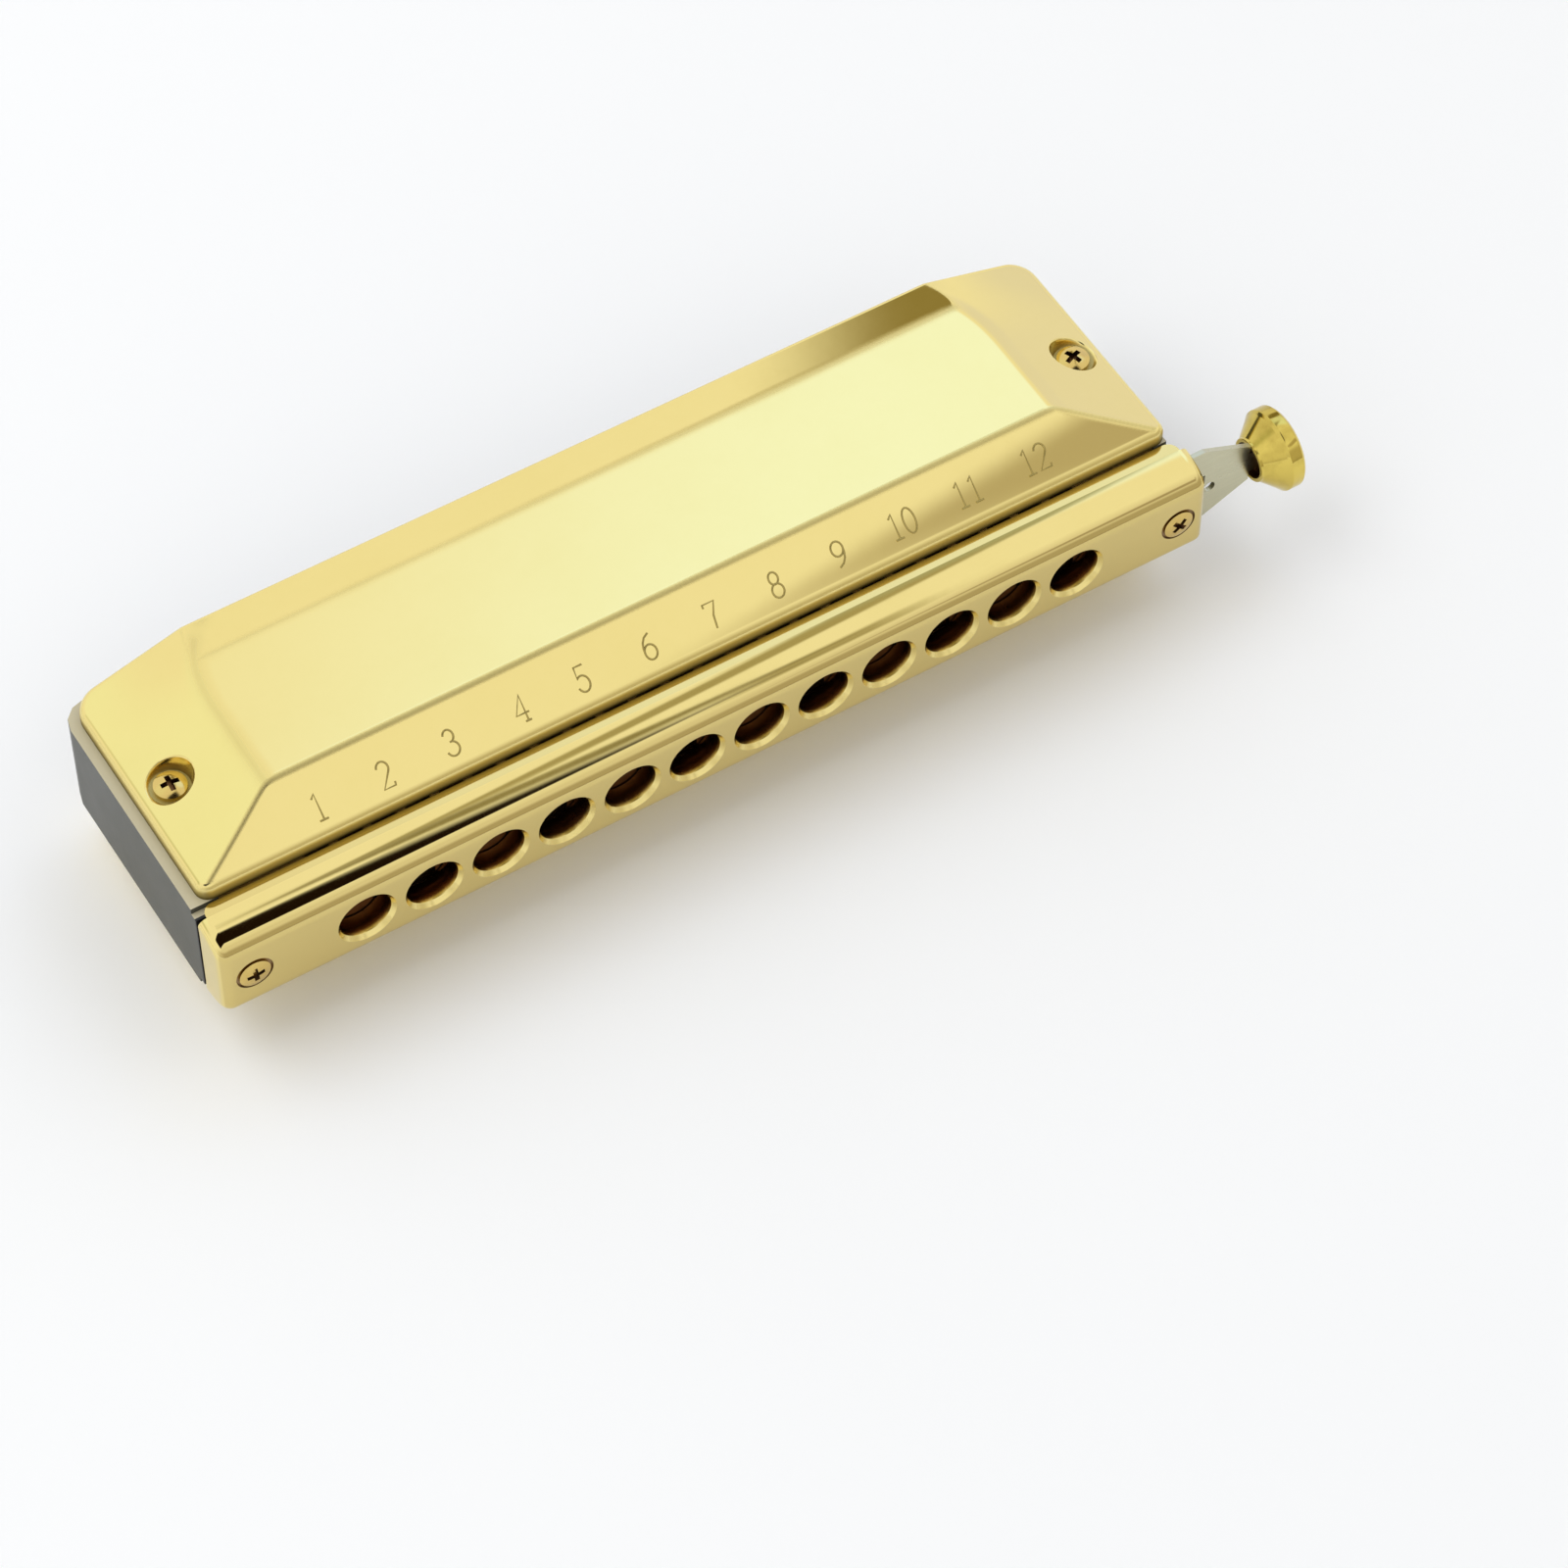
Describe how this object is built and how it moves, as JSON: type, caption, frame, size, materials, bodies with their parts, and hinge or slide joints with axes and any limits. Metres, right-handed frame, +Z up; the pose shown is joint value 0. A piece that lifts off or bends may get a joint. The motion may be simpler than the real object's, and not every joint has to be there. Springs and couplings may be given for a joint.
{
  "type": "chromatic harmonica",
  "caption": "Slide chromatic harmonica: round-holed mouthpiece, sprung slide with a brass button, comb with valved reed plates and two stamped gold covers.",
  "frame": {"origin": "middle of the lower cover's flat panel, on which the instrument rests", "axes": "+X along the row of holes towards the slide button, +Y away from the player, +Z up through the upper cover with the low notes at the left"},
  "size_m": [0.1547, 0.0432, 0.0297],
  "materials": {
    "gold_plate": "polished gold plating",
    "brass": "turned, lacquered",
    "reed_brass": "rolled sheet",
    "slide_steel": "ground sheet",
    "spring_steel": "drawn wire",
    "comb_plastic": "satin moulded",
    "valve_film": "thin film",
    "bumper_rubber": "soft"
  },
  "bodies": {
    "harmonica": {"mouthpiece": "gold_plate", "slide_back_plate": "brass", "comb": "comb_plastic", "slide_spring": "spring_steel", "slide_bumper": "bumper_rubber", "mouthpiece_screw_left": "brass", "mouthpiece_screw_right": "brass", "upper_reed_plate": "reed_brass", "upper_cover": "gold_plate", "upper_plate_screw_1": "brass", "upper_plate_screw_2": "brass", "upper_plate_screw_3": "brass", "upper_plate_screw_4": "brass", "upper_plate_screw_5": "brass", "upper_plate_screw_6": "brass", "upper_cover_screw_left": "brass", "upper_cover_screw_right": "brass", "upper_windsaver_1": "valve_film", "upper_windsaver_2": "valve_film", "upper_windsaver_3": "valve_film", "upper_windsaver_4": "valve_film", "upper_windsaver_5": "valve_film", "upper_windsaver_6": "valve_film", "upper_windsaver_7": "valve_film", "upper_windsaver_8": "valve_film", "upper_windsaver_9": "valve_film", "upper_windsaver_10": "valve_film", "upper_windsaver_11": "valve_film", "upper_windsaver_12": "valve_film", "lower_reed_plate": "reed_brass", "lower_cover": "gold_plate", "lower_plate_screw_1": "brass", "lower_plate_screw_2": "brass", "lower_plate_screw_3": "brass", "lower_plate_screw_4": "brass", "lower_plate_screw_5": "brass", "lower_plate_screw_6": "brass", "lower_cover_screw_left": "brass", "lower_cover_screw_right": "brass", "lower_windsaver_1": "valve_film", "lower_windsaver_2": "valve_film", "lower_windsaver_3": "valve_film", "lower_windsaver_4": "valve_film", "lower_windsaver_5": "valve_film", "lower_windsaver_6": "valve_film", "lower_windsaver_7": "valve_film", "lower_windsaver_8": "valve_film", "lower_windsaver_9": "valve_film", "lower_windsaver_10": "valve_film", "lower_windsaver_11": "valve_film", "lower_windsaver_12": "valve_film"},
    "slide": {"slide": "slide_steel", "slide_button": "brass"}
  },
  "joints": [
    {"name": "slide_press", "type": "slide", "parent": "harmonica", "child": "slide", "axis": [-1, 0, 0], "range_m": [0, 0.0046], "stiffness_N_per_m": 400, "springref_m": -0.005}
  ]
}
